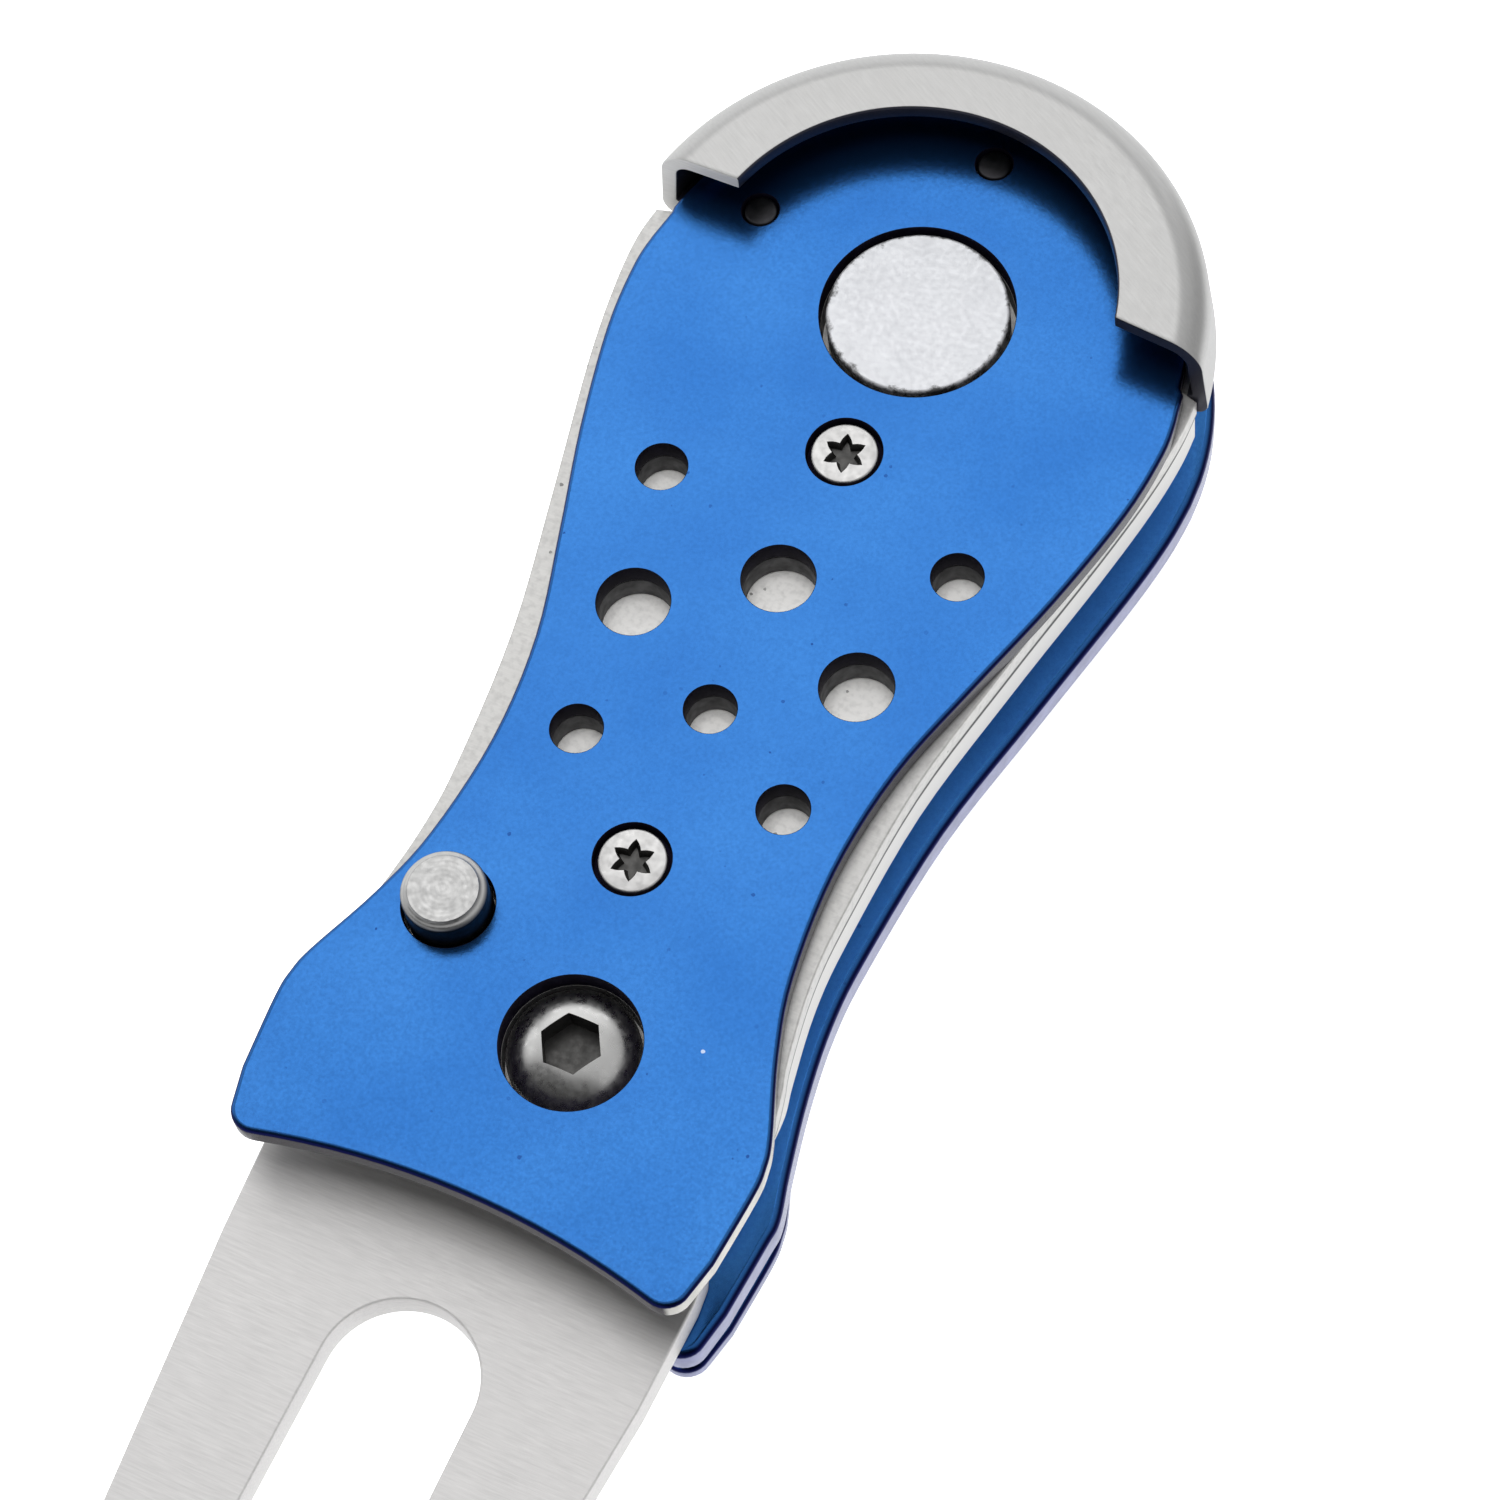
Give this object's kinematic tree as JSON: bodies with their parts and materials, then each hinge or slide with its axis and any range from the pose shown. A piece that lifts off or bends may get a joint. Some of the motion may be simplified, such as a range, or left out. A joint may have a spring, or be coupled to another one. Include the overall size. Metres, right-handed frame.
{
  "type": "folding divot repair tool",
  "caption": "Folding golf divot repair tool with a two-prong fork, a push-button lock, a magnet and a raised arch that hold a ball marker.",
  "frame": {"origin": "underside of the back cover, below the middle of the marker magnet", "axes": "+X right, +Y from the fork toward the marker arch, +Z out of the front cover"},
  "size_m": [0.034, 0.1157, 0.0149],
  "materials": {
    "anodised_blue": "satin anodised aluminium",
    "brushed_steel": "brushed sheet steel",
    "fork_steel": "fine cross-brushed stainless steel",
    "bright_steel": "polished steel",
    "nickel_plate": "matt nickel plating",
    "dark_steel": "darkened steel",
    "spring_steel": "spring wire",
    "bronze": "bronze strip"
  },
  "bodies": {
    "handle": {"front_cover": "anodised_blue", "marker_frame": "brushed_steel", "marker_magnet": "nickel_plate", "inner_liner": "brushed_steel", "spine_spacer": "brushed_steel", "back_plate": "anodised_blue", "back_cover": "anodised_blue", "arch_rivet_left": "dark_steel", "arch_rivet_top": "dark_steel", "front_screw_upper": "bright_steel", "front_screw_lower": "bright_steel", "back_screw_upper": "bright_steel", "back_screw_lower": "bright_steel", "pivot_screw": "bright_steel", "pivot_barrel": "bright_steel", "washer_front": "bronze", "washer_back": "bronze", "torsion_spring": "spring_steel", "button_spring": "spring_steel"},
    "fork": {"fork": "fork_steel"},
    "button": {"lock_button": "bright_steel"}
  },
  "joints": [
    {"name": "fork_hinge", "type": "hinge", "parent": "handle", "child": "fork", "pos_m": [0.00162, -0.04671, 0.0049], "axis": [0, 0, 1], "range_deg": [0, 180], "stiffness_Nm_per_rad": 0.0005, "springref_deg": -28.65},
    {"name": "button_press", "type": "slide", "parent": "handle", "child": "button", "axis": [0, 0, 1], "range_m": [-0.0014, 0], "stiffness_N_per_m": 300, "deforming": ["button_spring"]}
  ]
}
